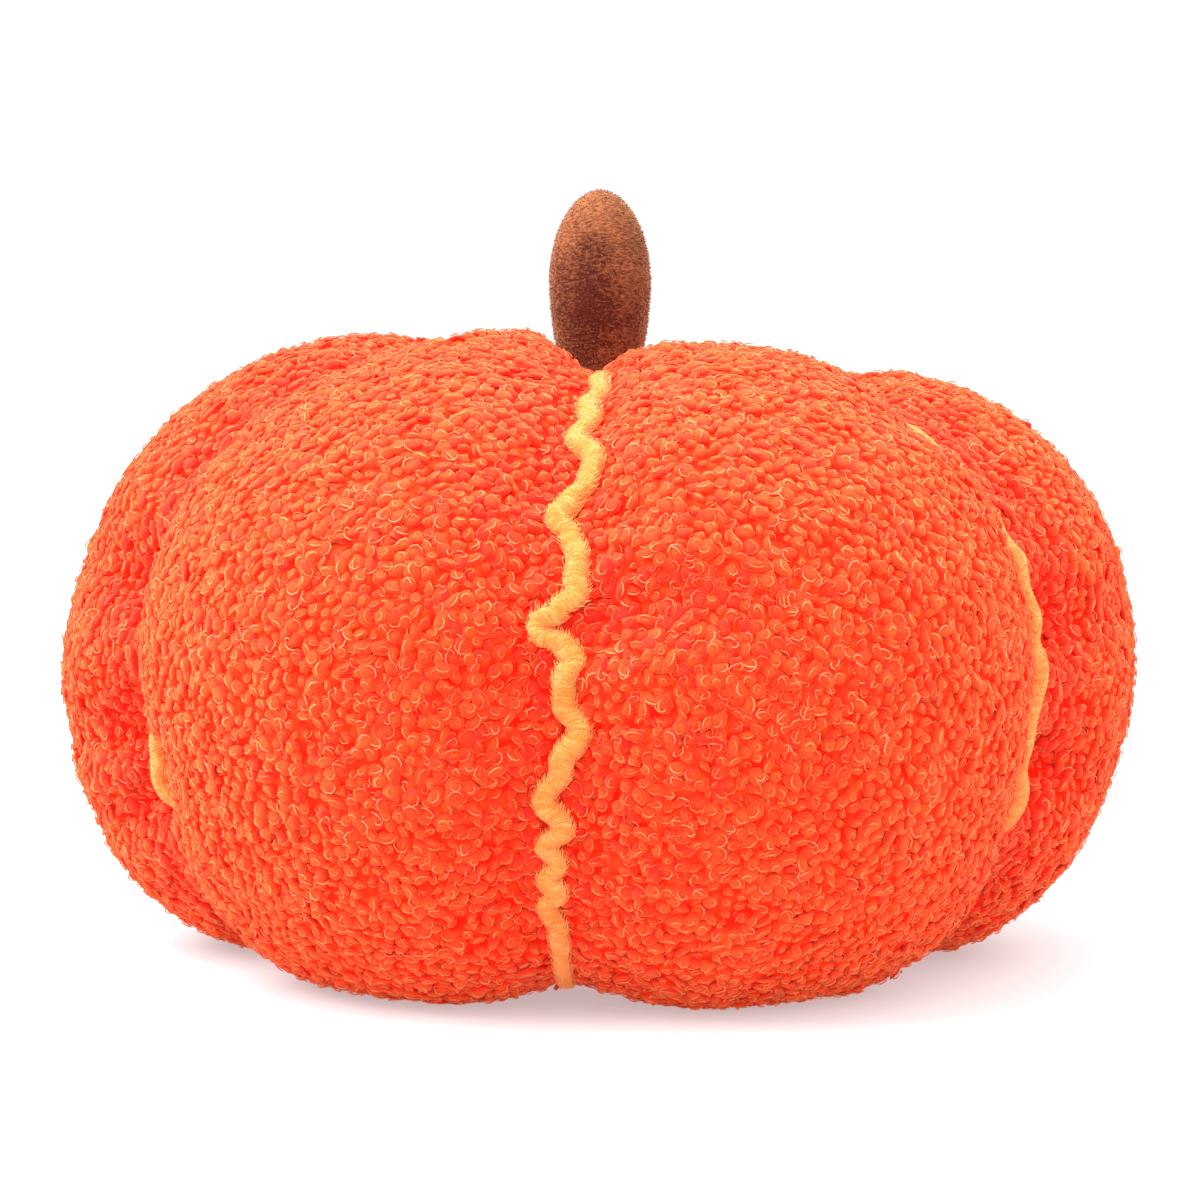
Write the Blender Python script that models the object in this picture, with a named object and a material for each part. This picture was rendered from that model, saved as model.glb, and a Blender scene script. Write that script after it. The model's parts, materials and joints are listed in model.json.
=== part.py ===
# Pumpkin cushion: six sewn gores of curly pile, plush piping in the seams and a stuffed stem.
# Metres, +Z up. It stands on its lobes at z = 0, and its front faces -Y.
# The origin lies on the floor, under the middle of the whole part's box.
#
# A "turn" is the way round a lobe in degrees, seen from the side: -180 at the lower hub,
# -90 under the foot, 0 at the waist, 90 on the crest and 180 at the upper hub.
# A "bearing" is the way round the cushion in degrees, from the front (-Y) towards +X.

import math
from collections import namedtuple

import bmesh
import bpy
from mathutils import Vector

# The two hubs: flat discs that a thread pulls towards each other through the filling
HUB_RADIUS = 0.015
UPPER_HUB = 0.196
LOWER_HUB = 0.030

# How far below the lobes' crests the seams lie, at the crest, the foot and the hubs.
# At the waist each seam has its own depth.
SEAM_DEPTH_CREST = 0.015
SEAM_DEPTH_FOOT = 0.014
SEAM_DEPTH_HUB = 0.003

# The crown across a gore: a soft arch with the last stretch pulled sharply into the seam.
# The power belongs to the waist, and is less where the gore is narrower.
PINCH_SHARE = 0.35
PINCH_POWER = 10
SOFT_POWER = 2

# The lobes sink this far under the floor before they are pressed flat on it
FOOT_SINK = 0.003

# One row for each lobe: its widest radius, the radius of its crest and of its foot,
# the height of its crest and of its waist
Lobe = namedtuple("Lobe", "name reach crest_radius foot_radius crest waist")
LOBES = (
    Lobe("front_left", 0.1994, 0.058, 0.1133, 0.2338, 0.129),
    Lobe("front_right", 0.2012, 0.0806, 0.1135, 0.2303, 0.1237),
    Lobe("right", 0.2016, 0.104, 0.1131, 0.2184, 0.1135),
    Lobe("back_right", 0.198, 0.1, 0.112, 0.226, 0.11),
    Lobe("back_left", 0.198, 0.1, 0.112, 0.226, 0.11),
    Lobe("left", 0.2042, 0.0833, 0.1172, 0.2333, 0.1004),
)

# One row for each seam; each lies between the lobe of its own row and the next lobe
Seam = namedtuple("Seam", "name bearing depth")
SEAMS = (
    Seam("front", -4.5, 0.025),
    Seam("right", 59.5, 0.028),
    Seam("back_right", 118.0, 0.026),
    Seam("back", 176.0, 0.026),
    Seam("back_left", 236.0, 0.026),
    Seam("left", 294.0, 0.030),
)

# Bends of the front seam: at which turn, and how far towards +X
Bend = namedtuple("Bend", "turn side")
FRONT_BENDS = (
    Bend(-150, 0.0),
    Bend(-90, -0.003),
    Bend(-65, -0.005),
    Bend(-53, -0.0025),
    Bend(-45, -0.0065),
    Bend(-36, -0.001),
    Bend(-24, -0.0035),
    Bend(-9, 0.0065),
    Bend(3, 0.0045),
    Bend(9, -0.0045),
    Bend(17, 0.003),
    Bend(26, 0.006),
    Bend(35, 0.0015),
    Bend(50, 0.0095),
    Bend(58, 0.005),
    Bend(72, 0.009),
    Bend(100, 0.005),
    Bend(150, 0.0),
)

# Bends of the other seams: two waves with this many bends in half a turn
BEND_SIDE = 0.0035
SLOW_BENDS = 11
QUICK_BENDS = 17
BEND_SHIFT = 100.0          # degrees by which the waves of one seam differ from the next
STRAIGHT_BEFORE_HUB = 40.0  # degrees over which the bends die out towards a hub

# Gathered cloth beside a bend stands up where the seam crowds it and sinks where it pulls
GATHER_SHARE = 0.3
SIDEWAYS_POWER = 6          # how fast the bend fades across the gore

# Pleats: soft troughs that run from a seam into the lobe beside it.
# The side is -1 for the lobe before the seam and 1 for the lobe after it.
Pleat = namedtuple("Pleat", "seam side turn depth spread")
PLEATS = (
    Pleat("left", -1, 22, 0.007, 7),
    Pleat("left", -1, -10, 0.006, 7),
    Pleat("left", -1, -28, 0.005, 6),
    Pleat("front", 1, 16, 0.003, 6),
    Pleat("front", -1, 40, 0.0025, 6),
    Pleat("right", -1, 57, 0.005, 7),
    Pleat("right", 1, 12, 0.005, 7),
    Pleat("right", 1, -22, 0.005, 6),
    Pleat("back_right", -1, 30, 0.005, 7),
    Pleat("back_right", 1, -6, 0.006, 7),
    Pleat("back", -1, 18, 0.005, 7),
    Pleat("back", 1, -18, 0.006, 6),
    Pleat("back_left", -1, 38, 0.005, 7),
    Pleat("back_left", 1, 4, 0.006, 7),
)

# Mesh of the cushion: rows round a lobe, and columns from a gore's middle to its seam
OUTER_ROWS = 44             # from the foot over the waist to the crest
INNER_ROWS = 7              # from the crest, or the foot, to its hub
HALF_GORE = (0.0, 0.32, 0.58, 0.78, 0.92, 1.0)

# Piping: half of its section, from the sewn edge to the head, above the seam's floor
PIPING_GAP = 0.0008
PIPING_WIDTH = 0.008
PIPING_HEIGHT = 0.0075
SectionPoint = namedtuple("SectionPoint", "across height")
PIPING_SECTION = (
    SectionPoint(0.0, 0.0),
    SectionPoint(0.35, 0.33),
    SectionPoint(1.0, 0.72),
    SectionPoint(0.55, 1.0),
)
PIPING_END_TURN = 146.0     # both ends stop this far round, just short of the hubs
PIPING_TAPER_TURN = 100.0   # the ends start to slim down here
PIPING_END_SHARE = 0.4
PIPING_FOOT_SHARE = 0.8     # flattened under the cushion, clear of the floor
SEAM_PULL = 0.6             # how much the seam's own direction steadies the piping's lean

# Stem: sewn to the upper hub, widest below its rounded end
STEM_GAP = 0.0003
STEM_BASE_RADIUS = 0.0135
STEM_RADIUS = 0.0195
STEM_WIDEST_AT = 0.253
STEM_TOP = 0.288
STEM_SIDES = 20
STEM_LOWER_ROWS = 7
STEM_DOME_ROWS = 8

Finish = namedtuple("Finish", "name color roughness")
SHERPA = Finish("coral_sherpa", (0.9, 0.1, 0.03, 1.0), 0.95)
PLUSH = Finish("yellow_plush", (0.88, 0.42, 0.1, 1.0), 0.9)
VELOUR = Finish("brown_velour", (0.22, 0.08, 0.035, 1.0), 0.85)


def clear_scene():
    for old in list(bpy.data.objects):
        bpy.data.objects.remove(old, do_unlink=True)


def material(finish):
    found = bpy.data.materials.get(finish.name)
    if found:
        return found
    made = bpy.data.materials.new(finish.name)
    made.use_nodes = True
    made.diffuse_color = finish.color
    shader = made.node_tree.nodes["Principled BSDF"]
    shader.inputs["Base Color"].default_value = finish.color
    shader.inputs["Roughness"].default_value = finish.roughness
    shader.inputs["Metallic"].default_value = 0.0
    return made


def add_object(name, bm, finish):
    """Turns a bmesh into a named object with smooth, outward faces."""
    bmesh.ops.recalc_face_normals(bm, faces=bm.faces)
    mesh = bpy.data.meshes.new(name)
    bm.to_mesh(mesh)
    bm.free()
    mesh.shade_smooth()
    mesh.materials.append(material(finish))
    made = bpy.data.objects.new(name, mesh)
    bpy.context.scene.collection.objects.link(made)
    return made


def mix(a, b, share):
    return a + (b - a) * share


def ease(share):
    """Rises from 0 to 1 with soft ends."""
    share = min(max(share, 0.0), 1.0)
    return share * share * (3.0 - 2.0 * share)


def rim_share(turn):
    """1 at the waist and at the hubs, 0 on the crest and under the foot."""
    return abs(math.cos(math.radians(turn)))


def lobe_profile(lobe, turn):
    """Radius, height and their slopes on a lobe's middle line."""
    along, up = math.cos(math.radians(turn)), math.sin(math.radians(turn))
    upper = up > 0.0
    ring = lobe.crest_radius if upper else lobe.foot_radius
    rise = lobe.crest if upper else FOOT_SINK
    if abs(turn) <= 90.0:
        bulge = lobe.reach - ring
        base = lobe.waist
        lift = rise - lobe.waist if upper else lobe.waist + rise
    else:
        bulge = ring - HUB_RADIUS
        base = UPPER_HUB if upper else LOWER_HUB
        lift = rise - base if upper else base + rise
    return ring + bulge * along, base + lift * up, -bulge * up, lift * along


def seam_depth(index, turn):
    """How far a seam lies below the line of the crests."""
    rim = rim_share(turn)
    end = SEAM_DEPTH_CREST if turn > 0.0 else SEAM_DEPTH_FOOT
    if abs(turn) <= 90.0:
        return mix(end, SEAMS[index].depth, rim)
    return mix(end, SEAM_DEPTH_HUB, rim ** 3)


def seam_profile(index, turn):
    """Radius and height of the seam's floor, and the direction out of it."""
    before = lobe_profile(LOBES[index], turn)
    after = lobe_profile(LOBES[(index + 1) % len(LOBES)], turn)
    radius, height, slope_r, slope_z = [(a + b) / 2 for a, b in zip(before, after)]
    length = math.hypot(slope_r, slope_z)
    out_r, out_z = slope_z / length, -slope_r / length
    depth = seam_depth(index, turn)
    return radius - out_r * depth, height - out_z * depth, out_r, out_z


def front_bend(turn):
    if turn <= FRONT_BENDS[0].turn or turn >= FRONT_BENDS[-1].turn:
        return 0.0
    for low, high in zip(FRONT_BENDS, FRONT_BENDS[1:]):
        if turn <= high.turn:
            return mix(low.side, high.side, ease((turn - low.turn) / (high.turn - low.turn)))


def seam_bend(index, turn):
    """How far a seam is gathered sideways, towards a larger bearing."""
    if SEAMS[index].name == "front":
        return front_bend(turn)
    angle, shift = math.radians(turn), math.radians(index * BEND_SHIFT)
    slow = math.sin(SLOW_BENDS * angle + shift)
    quick = math.sin(QUICK_BENDS * angle + 2.0 * shift)
    fade = ease((180.0 - abs(turn)) / STRAIGHT_BEFORE_HUB - 0.5)
    return BEND_SIDE * (0.65 * slow + 0.35 * quick) * fade


def pleat_depth(index, side, turn):
    """Depth of the pleats on one side of a seam."""
    depth = 0.0
    for pleat in PLEATS:
        if pleat.seam == SEAMS[index].name and pleat.side == side:
            depth += pleat.depth * math.exp(-((turn - pleat.turn) / pleat.spread) ** 2)
    return depth


def beside_seam(across):
    """0 at a gore's middle and on its seam, about 1 between, near the seam."""
    return 2.1 * across ** 2 * (1.0 - across ** 6)


def bearing_point(radius, bearing, height):
    angle = math.radians(bearing)
    return Vector((radius * math.sin(angle), -radius * math.cos(angle), height))


def gore_point(lobe_index, across, turn):
    """A point of a gore; across runs from -1 at its left seam to 1 at its right seam."""
    left, right = (lobe_index - 1) % len(SEAMS), lobe_index
    seam = right if across > 0.0 else left
    side = -1 if across > 0.0 else 1
    reach = abs(across)
    low, high = SEAMS[left].bearing, SEAMS[right].bearing
    if low > high:
        low -= 360.0

    crest_r, crest_z, slope_r, slope_z = lobe_profile(LOBES[lobe_index], turn)
    seam_r, seam_z, _, _ = seam_profile(seam, turn)
    pinch = max(SOFT_POWER, PINCH_POWER * crest_r / LOBES[lobe_index].reach)
    drop = mix(reach ** SOFT_POWER, reach ** pinch, PINCH_SHARE)
    radius = mix(crest_r, seam_r, drop)
    height = mix(crest_z, seam_z, drop)

    bend = seam_bend(seam, turn)
    swell = side * GATHER_SHARE * bend - pleat_depth(seam, side, turn)
    swell *= beside_seam(reach) * rim_share(turn)
    length = math.hypot(slope_r, slope_z)
    radius += swell * slope_z / length
    height -= swell * slope_r / length

    bearing = (low + high) / 2 + across * (high - low) / 2
    bearing += math.degrees(bend / radius) * reach ** SIDEWAYS_POWER
    return bearing_point(radius, bearing, max(height, 0.0))


def row_turns():
    """The turns of the mesh rows, from the lower hub to the upper hub."""
    inner = [-180.0 + 90.0 * row / INNER_ROWS for row in range(INNER_ROWS)]
    outer = [-90.0 + 180.0 * row / OUTER_ROWS for row in range(OUTER_ROWS + 1)]
    return inner + outer + [-turn for turn in reversed(inner)]


def close_with_fan(bm, ring):
    middle = bm.verts.new(sum((v.co for v in ring), Vector()) / len(ring))
    for here, there in zip(ring, ring[1:] + ring[:1]):
        bm.faces.new((middle, here, there))


def skin_between(bm, rings):
    """Joins closed rings of equal length with quads."""
    for lower, upper in zip(rings, rings[1:]):
        for i in range(len(lower)):
            j = (i + 1) % len(lower)
            bm.faces.new((lower[i], lower[j], upper[j], upper[i]))


def build_cushion():
    """The filled body: six gores in one closed skin."""
    across = [-a for a in reversed(HALF_GORE[1:])] + list(HALF_GORE[:-1])
    bm = bmesh.new()
    rings = []
    for turn in row_turns():
        points = [gore_point(k, a, turn) for k in range(len(LOBES)) for a in across]
        rings.append([bm.verts.new(point) for point in points])
    skin_between(bm, rings)
    close_with_fan(bm, rings[0])
    close_with_fan(bm, rings[-1])
    return add_object("cushion", bm, SHERPA)


def lean_out(index, turn, floor, along):
    """The direction midway between the two walls of a seam, square to the seam."""
    _, _, out_r, out_z = seam_profile(index, turn)
    total = bearing_point(out_r, SEAMS[index].bearing, out_z) * SEAM_PULL
    before = gore_point(index, HALF_GORE[-2], turn)
    after = gore_point((index + 1) % len(LOBES), -HALF_GORE[-2], turn)
    for wall in (before - floor, after - floor):
        total += (wall - wall.dot(along) * along).normalized()
    return (total - total.dot(along) * along).normalized()


def piping_share(turn):
    """The piping's size along its length, as a share of its full section."""
    end = ease((abs(turn) - PIPING_TAPER_TURN) / (PIPING_END_TURN - PIPING_TAPER_TURN))
    under = PIPING_FOOT_SHARE if turn < 0.0 else 1.0
    foot = mix(1.0, under, 1.0 - rim_share(turn))
    return mix(foot, PIPING_END_SHARE, end)


def build_piping(index):
    """A strip of folded plush that stands in one seam."""
    turns = [turn for turn in row_turns() if abs(turn) <= PIPING_END_TURN]
    floor = [gore_point(index, 1.0, turn) for turn in turns]
    outline = [(p.across, p.height) for p in PIPING_SECTION]
    outline += [(-across, height) for across, height in reversed(outline[1:])]
    bm = bmesh.new()
    rings = []
    for row, turn in enumerate(turns):
        along = (floor[min(row + 1, len(floor) - 1)] - floor[max(row - 1, 0)]).normalized()
        out = lean_out(index, turn, floor[row], along)
        aside = along.cross(out)
        share = piping_share(turn)
        ring = []
        for across, height in outline:
            wide = aside * across * PIPING_WIDTH / 2 * share
            tall = out * (PIPING_GAP + height * PIPING_HEIGHT * share)
            ring.append(bm.verts.new(floor[row] + wide + tall))
        rings.append(ring)
    skin_between(bm, rings)
    bm.faces.new(rings[0])
    bm.faces.new(rings[-1])
    return add_object("piping_" + SEAMS[index].name, bm, PLUSH)


def stem_profile():
    """Radius and height from the sewn base to just under the stem's tip."""
    base = UPPER_HUB + STEM_GAP
    profile = []
    for row in range(STEM_LOWER_ROWS):
        share = row / STEM_LOWER_ROWS
        radius = mix(STEM_BASE_RADIUS, STEM_RADIUS, ease(share))
        profile.append((radius, mix(base, STEM_WIDEST_AT, share)))
    for row in range(STEM_DOME_ROWS):
        angle = math.pi / 2 * row / STEM_DOME_ROWS
        height = mix(STEM_WIDEST_AT, STEM_TOP, math.sin(angle))
        profile.append((STEM_RADIUS * math.cos(angle), height))
    return profile


def build_stem():
    """A stuffed tube with a rounded end, standing on the upper hub."""
    bm = bmesh.new()
    rings = []
    for radius, height in stem_profile():
        bearings = [360.0 * side / STEM_SIDES for side in range(STEM_SIDES)]
        rings.append([bm.verts.new(bearing_point(radius, b, height)) for b in bearings])
    skin_between(bm, rings)
    close_with_fan(bm, rings[0])
    tip = bm.verts.new((0.0, 0.0, STEM_TOP))
    for here, there in zip(rings[-1], rings[-1][1:] + rings[-1][:1]):
        bm.faces.new((tip, here, there))
    return add_object("stem", bm, VELOUR)


def centre_on_floor(pieces):
    """Moves every piece so that the origin lies under the middle of the whole box."""
    corners = [vertex.co for piece in pieces for vertex in piece.data.vertices]
    middle = Vector((0.0, 0.0, 0.0))
    for axis in (0, 1):
        values = [co[axis] for co in corners]
        middle[axis] = (min(values) + max(values)) / 2
    for piece in pieces:
        for vertex in piece.data.vertices:
            vertex.co -= middle


clear_scene()
parts = [build_cushion(), build_stem()]
parts += [build_piping(index) for index in range(len(SEAMS))]
centre_on_floor(parts)
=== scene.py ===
import json
import math
from collections import namedtuple

import bpy
import numpy as np
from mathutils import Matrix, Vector

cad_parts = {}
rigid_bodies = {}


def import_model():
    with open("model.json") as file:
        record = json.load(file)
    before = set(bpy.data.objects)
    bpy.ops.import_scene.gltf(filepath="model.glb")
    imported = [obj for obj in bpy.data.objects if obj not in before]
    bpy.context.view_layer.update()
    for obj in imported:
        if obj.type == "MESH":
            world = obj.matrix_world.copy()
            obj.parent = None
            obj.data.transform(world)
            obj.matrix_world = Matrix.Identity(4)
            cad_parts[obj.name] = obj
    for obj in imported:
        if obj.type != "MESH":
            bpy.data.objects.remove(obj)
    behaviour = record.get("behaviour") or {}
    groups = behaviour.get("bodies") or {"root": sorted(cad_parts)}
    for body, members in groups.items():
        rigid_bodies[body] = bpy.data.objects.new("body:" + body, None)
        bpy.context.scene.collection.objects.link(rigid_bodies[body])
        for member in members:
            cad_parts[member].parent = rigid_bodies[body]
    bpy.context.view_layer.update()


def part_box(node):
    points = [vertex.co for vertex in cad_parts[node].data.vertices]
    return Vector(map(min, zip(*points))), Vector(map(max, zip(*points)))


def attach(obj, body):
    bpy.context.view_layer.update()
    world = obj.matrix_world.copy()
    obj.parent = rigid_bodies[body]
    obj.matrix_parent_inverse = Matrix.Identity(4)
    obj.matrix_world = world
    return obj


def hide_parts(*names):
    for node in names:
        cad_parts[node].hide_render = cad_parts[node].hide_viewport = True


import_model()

# Pumpkin cushion: curly sherpa gores, ruffled plush piping in the seams, a velour stem.
# A turn is the way round a lobe seen from the side, in degrees: -180 at the lower hub,
# -90 under the foot, 0 at the waist, 90 on the crest and 180 at the upper hub.
# A bearing is the way round the cushion in degrees, from the front (-Y) towards +X.

stemLow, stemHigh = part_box("stem")
hubX = (stemLow.x + stemHigh.x) / 2
hubY = (stemLow.y + stemHigh.y) / 2
print("frame loaded, hub at", round(hubX, 4), round(hubY, 4))


def table(columns, *rows):
    # Rows whose values are read by the names of their columns
    made = namedtuple("Row", columns)
    return tuple(made(*row) for row in rows)


# Node trees: one way of adding nodes, and arithmetic on their outputs

class Wire:
    # A node's output; + - * / and > on it add Math nodes
    def __init__(self, sheet, socket):
        self.sheet = sheet
        self.socket = socket

    def out(self, name):
        found = [s for s in self.socket.node.outputs if s.name == name and s.enabled]
        return Wire(self.sheet, found[0])

    def clamped(self):
        self.socket.node.use_clamp = True
        return self

    def __add__(self, other):
        return self.sheet.math("ADD", self, other)

    def __sub__(self, other):
        return self.sheet.math("SUBTRACT", self, other)

    def __rsub__(self, other):
        return self.sheet.math("SUBTRACT", other, self)

    def __mul__(self, other):
        return self.sheet.math("MULTIPLY", self, other)

    def __truediv__(self, other):
        return self.sheet.math("DIVIDE", self, other)

    def __gt__(self, other):
        return self.sheet.math("GREATER_THAN", self, other)


class Sheet:
    # A node tree that is written as expressions
    def __init__(self, tree):
        self.tree = tree

    def node(self, kind, settings=None, sockets=None):
        made = self.tree.nodes.new(kind)
        for key, value in (settings or {}).items():
            setattr(made, key, value)
        for key, value in (sockets or {}).items():
            target = made.inputs[key] if isinstance(key, int) else self.named(made.inputs, key)
            if isinstance(value, Wire):
                self.tree.links.new(value.socket, target)
            else:
                target.default_value = value
        shown = [s for s in made.outputs if s.enabled]
        return Wire(self, shown[0]) if shown else None

    def named(self, sockets, name):
        return next(s for s in sockets if s.name == name and s.enabled)

    def math(self, operation, *values):
        return self.node("ShaderNodeMath", {"operation": operation}, dict(enumerate(values)))

    def mixColor(self, first, second, share):
        return self.node("ShaderNodeMix", {"data_type": "RGBA"}, {"Factor": share, "A": first, "B": second})

    def vector(self, operation, first, second=None, scale=None):
        given = {0: first}
        if second is not None:
            given[1] = second
        if scale is not None:
            given["Scale"] = scale
        return self.node("ShaderNodeVectorMath", {"operation": operation}, given)

    def attribute(self, name, part="Fac"):
        return self.node("ShaderNodeAttribute", {"attribute_name": name}).out(part)

    def place(self):
        return self.node("ShaderNodeTexCoord").out("Object")

    def noise(self, vector, scale, detail, roughness):
        return self.node("ShaderNodeTexNoise", None,
                         {"Vector": vector, "Scale": scale, "Detail": detail, "Roughness": roughness})


def newFinish(name):
    # An empty material with its tree ready to fill
    made = bpy.data.materials.new(name)
    made.use_nodes = True
    made.node_tree.nodes.clear()
    return made, Sheet(made.node_tree)


def endFinish(sheet, color, roughness, specular, relief=None, sheen=None, glow=None):
    # relief: height, distance, strength; sheen: weight, roughness, tint; glow: color, strength
    sockets = {"Base Color": color, "Roughness": roughness, "Specular IOR Level": specular}
    if relief:
        sockets["Normal"] = sheet.node("ShaderNodeBump", None,
                                       dict(zip(("Height", "Distance", "Strength"), relief)))
    if sheen:
        sockets.update(zip(("Sheen Weight", "Sheen Roughness", "Sheen Tint"), sheen))
    if glow:
        sockets.update(zip(("Emission Color", "Emission Strength"), glow))
    shader = sheet.node("ShaderNodeBsdfPrincipled", None, sockets)
    sheet.node("ShaderNodeOutputMaterial", None, {"Surface": shader})


# Shape of the cushion, the same rule that its solid follows

cushionShape = {
    "hubRadius": 0.015,
    "upperHub": 0.196,
    "lowerHub": 0.030,
    "seamDepthCrest": 0.015,    # how deep the seams lie at the crests, the feet and the hubs
    "seamDepthFoot": 0.014,
    "seamDepthHub": 0.003,
    "pinchShare": 0.35,         # share of a gore's drop that comes late, close to its seam
    "pinchPower": 10.0,
    "softPower": 2.0,
    "footSink": 0.003,          # how far the feet would reach under the floor that flattens them
    "bendSide": 0.0035,         # how far the side seams bend, in slow and in quick waves
    "slowBends": 11,
    "quickBends": 17,
    "slowShare": 0.65,
    "quickShare": 0.35,
    "bendShift": 100.0,         # degrees by which each seam's waves are shifted
    "straightBeforeHub": 40.0,
    "gatherShare": 0.3,         # share of a seam's bend by which the gore beside it swells
    "sidewaysPower": 6,
    "pleatGain": 2.2,           # the cloth's pleats are this much deeper than the solid's
    "foldGain": 2.1,            # a fold is deepest between a gore's middle and its seam
    "foldPower": 6,
}

# One row for each lobe: its widest radius, the radius of its crest and of its foot,
# the height of its crest and of its waist
lobes = table(
    "name reach crestRadius footRadius crest waist",
    ("frontLeft", 0.1994, 0.058, 0.1133, 0.2338, 0.129),
    ("frontRight", 0.2012, 0.0806, 0.1135, 0.2303, 0.1237),
    ("right", 0.2016, 0.104, 0.1131, 0.2184, 0.1135),
    ("backRight", 0.198, 0.1, 0.112, 0.226, 0.11),
    ("backLeft", 0.198, 0.1, 0.112, 0.226, 0.11),
    ("left", 0.2042, 0.0833, 0.1172, 0.2333, 0.1004),
)

# One row for each seam; each lies between the lobe of its own row and the next lobe
seams = table(
    "name node bearing depth",
    ("Front", "piping_front", -4.5, 0.025),
    ("Right", "piping_right", 59.5, 0.028),
    ("BackRight", "piping_back_right", 118.0, 0.026),
    ("Back", "piping_back", 176.0, 0.026),
    ("BackLeft", "piping_back_left", 236.0, 0.026),
    ("Left", "piping_left", 294.0, 0.030),
)

# Bends of the front seam: (turn, metres towards +X)
frontBends = (
    (-150, 0.0), (-90, -0.0025), (-60, -0.0025), (-53, -0.003), (-46, -0.0055),
    (-43, -0.003), (-39, -0.005), (-36, -0.0022), (-32, -0.0043), (-28, -0.0005),
    (-23, -0.004), (-17, 0.001), (-10, 0.0066), (-6, 0.0034), (-2, 0.003),
    (2.5, 0.0042), (5, 0.002), (10, -0.0045), (14, 0.0), (19, 0.0052), (26, 0.0064),
    (32, 0.0036), (35.5, 0.001), (39, 0.004), (44, 0.0082), (50, 0.0098), (58, 0.0046),
    (63, 0.0072), (68, 0.0066), (75, 0.0092), (100, 0.005), (150, 0.0),
)

# Pleats that run from a seam into the lobe before it (-1) or after it (1)
pleats = table(
    "seam side turn depth spread",
    ("Left", -1, 22, 0.007, 7),
    ("Left", -1, -10, 0.006, 7),
    ("Left", -1, -28, 0.005, 6),
    ("Front", 1, 16, 0.003, 6),
    ("Front", -1, 40, 0.0025, 6),
    ("Right", -1, 57, 0.005, 7),
    ("Right", 1, 12, 0.005, 7),
    ("Right", 1, -22, 0.005, 6),
    ("BackRight", -1, 30, 0.005, 7),
    ("BackRight", 1, -6, 0.006, 7),
    ("Back", -1, 18, 0.005, 7),
    ("Back", 1, -18, 0.006, 6),
    ("BackLeft", -1, 38, 0.005, 7),
    ("BackLeft", 1, 4, 0.006, 7),
)


def mix(a, b, share):
    return a + (b - a) * share


def ease(share):
    # Rises from 0 to 1 with soft ends
    share = np.clip(share, 0.0, 1.0)
    return share * share * (3.0 - 2.0 * share)


def rimShare(turn):
    return np.abs(np.cos(np.radians(turn)))


def lobeProfile(lobe, turn):
    # Radius, height and their slopes on a lobe's middle line
    shape = cushionShape
    along, up = np.cos(np.radians(turn)), np.sin(np.radians(turn))
    upper = up > 0.0
    outer = np.abs(turn) <= 90.0
    ring = np.where(upper, lobe.crestRadius, lobe.footRadius)
    rise = np.where(upper, lobe.crest, -shape["footSink"])
    hub = np.where(upper, shape["upperHub"], shape["lowerHub"])
    base = np.where(outer, lobe.waist, hub)
    bulge = np.where(outer, lobe.reach - ring, ring - shape["hubRadius"])
    lift = np.where(upper, rise - base, base - rise)
    return ring + bulge * along, base + lift * up, -bulge * up, lift * along


def seamProfile(index, turn):
    # Radius and height of the seam's floor
    shape = cushionShape
    before = lobeProfile(lobes[index], turn)
    after = lobeProfile(lobes[(index + 1) % len(lobes)], turn)
    radius, height, slopeR, slopeZ = [(a + b) / 2 for a, b in zip(before, after)]
    length = np.hypot(slopeR, slopeZ)
    rim = rimShare(turn)
    end = np.where(turn > 0.0, shape["seamDepthCrest"], shape["seamDepthFoot"])
    outerDepth = mix(end, seams[index].depth, rim)
    innerDepth = mix(end, shape["seamDepthHub"], rim ** 3)
    depth = np.where(np.abs(turn) <= 90.0, outerDepth, innerDepth)
    return radius - slopeZ / length * depth, height + slopeR / length * depth


def frontBend(turn):
    turns = np.array([row[0] for row in frontBends], float)
    sides = np.array([row[1] for row in frontBends])
    low = np.clip(np.searchsorted(turns, turn, side="right") - 1, 0, len(turns) - 2)
    share = (turn - turns[low]) / (turns[low + 1] - turns[low])
    return mix(sides[low], sides[low + 1], ease(share))


def seamBend(index, turn):
    # How far a seam is gathered sideways, towards a larger bearing
    shape = cushionShape
    if index == 0:
        return frontBend(turn)
    angle, shift = np.radians(turn), math.radians(index * shape["bendShift"])
    slow = np.sin(shape["slowBends"] * angle + shift)
    quick = np.sin(shape["quickBends"] * angle + 2.0 * shift)
    fade = ease((180.0 - np.abs(turn)) / shape["straightBeforeHub"] - 0.5)
    return shape["bendSide"] * (shape["slowShare"] * slow + shape["quickShare"] * quick) * fade


def pleatDepth(index, side, turn):
    depth = np.zeros_like(turn)
    for pleat in pleats:
        if pleat.seam == seams[index].name and pleat.side == side:
            depth = depth + pleat.depth * np.exp(-((turn - pleat.turn) / pleat.spread) ** 2)
    return depth


def atBearing(radius, bearing, height):
    angle = np.radians(bearing)
    x = hubX + radius * np.sin(angle)
    y = hubY - radius * np.cos(angle)
    return np.stack(np.broadcast_arrays(x, y, height), axis=-1)


def goreSpan(lobeIndex):
    # Bearings of a gore's left and right seams
    low, high = seams[lobeIndex - 1].bearing, seams[lobeIndex].bearing
    return (low - 360.0 if low > high else low), high


def folded(depth, reach, turn):
    # A fold's depth on a gore; reach runs from 0 at its middle to 1 at its seam
    shape = cushionShape
    depth = depth * shape["foldGain"] * reach ** 2 * (1.0 - reach ** shape["foldPower"])
    return depth * rimShare(turn)


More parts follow.
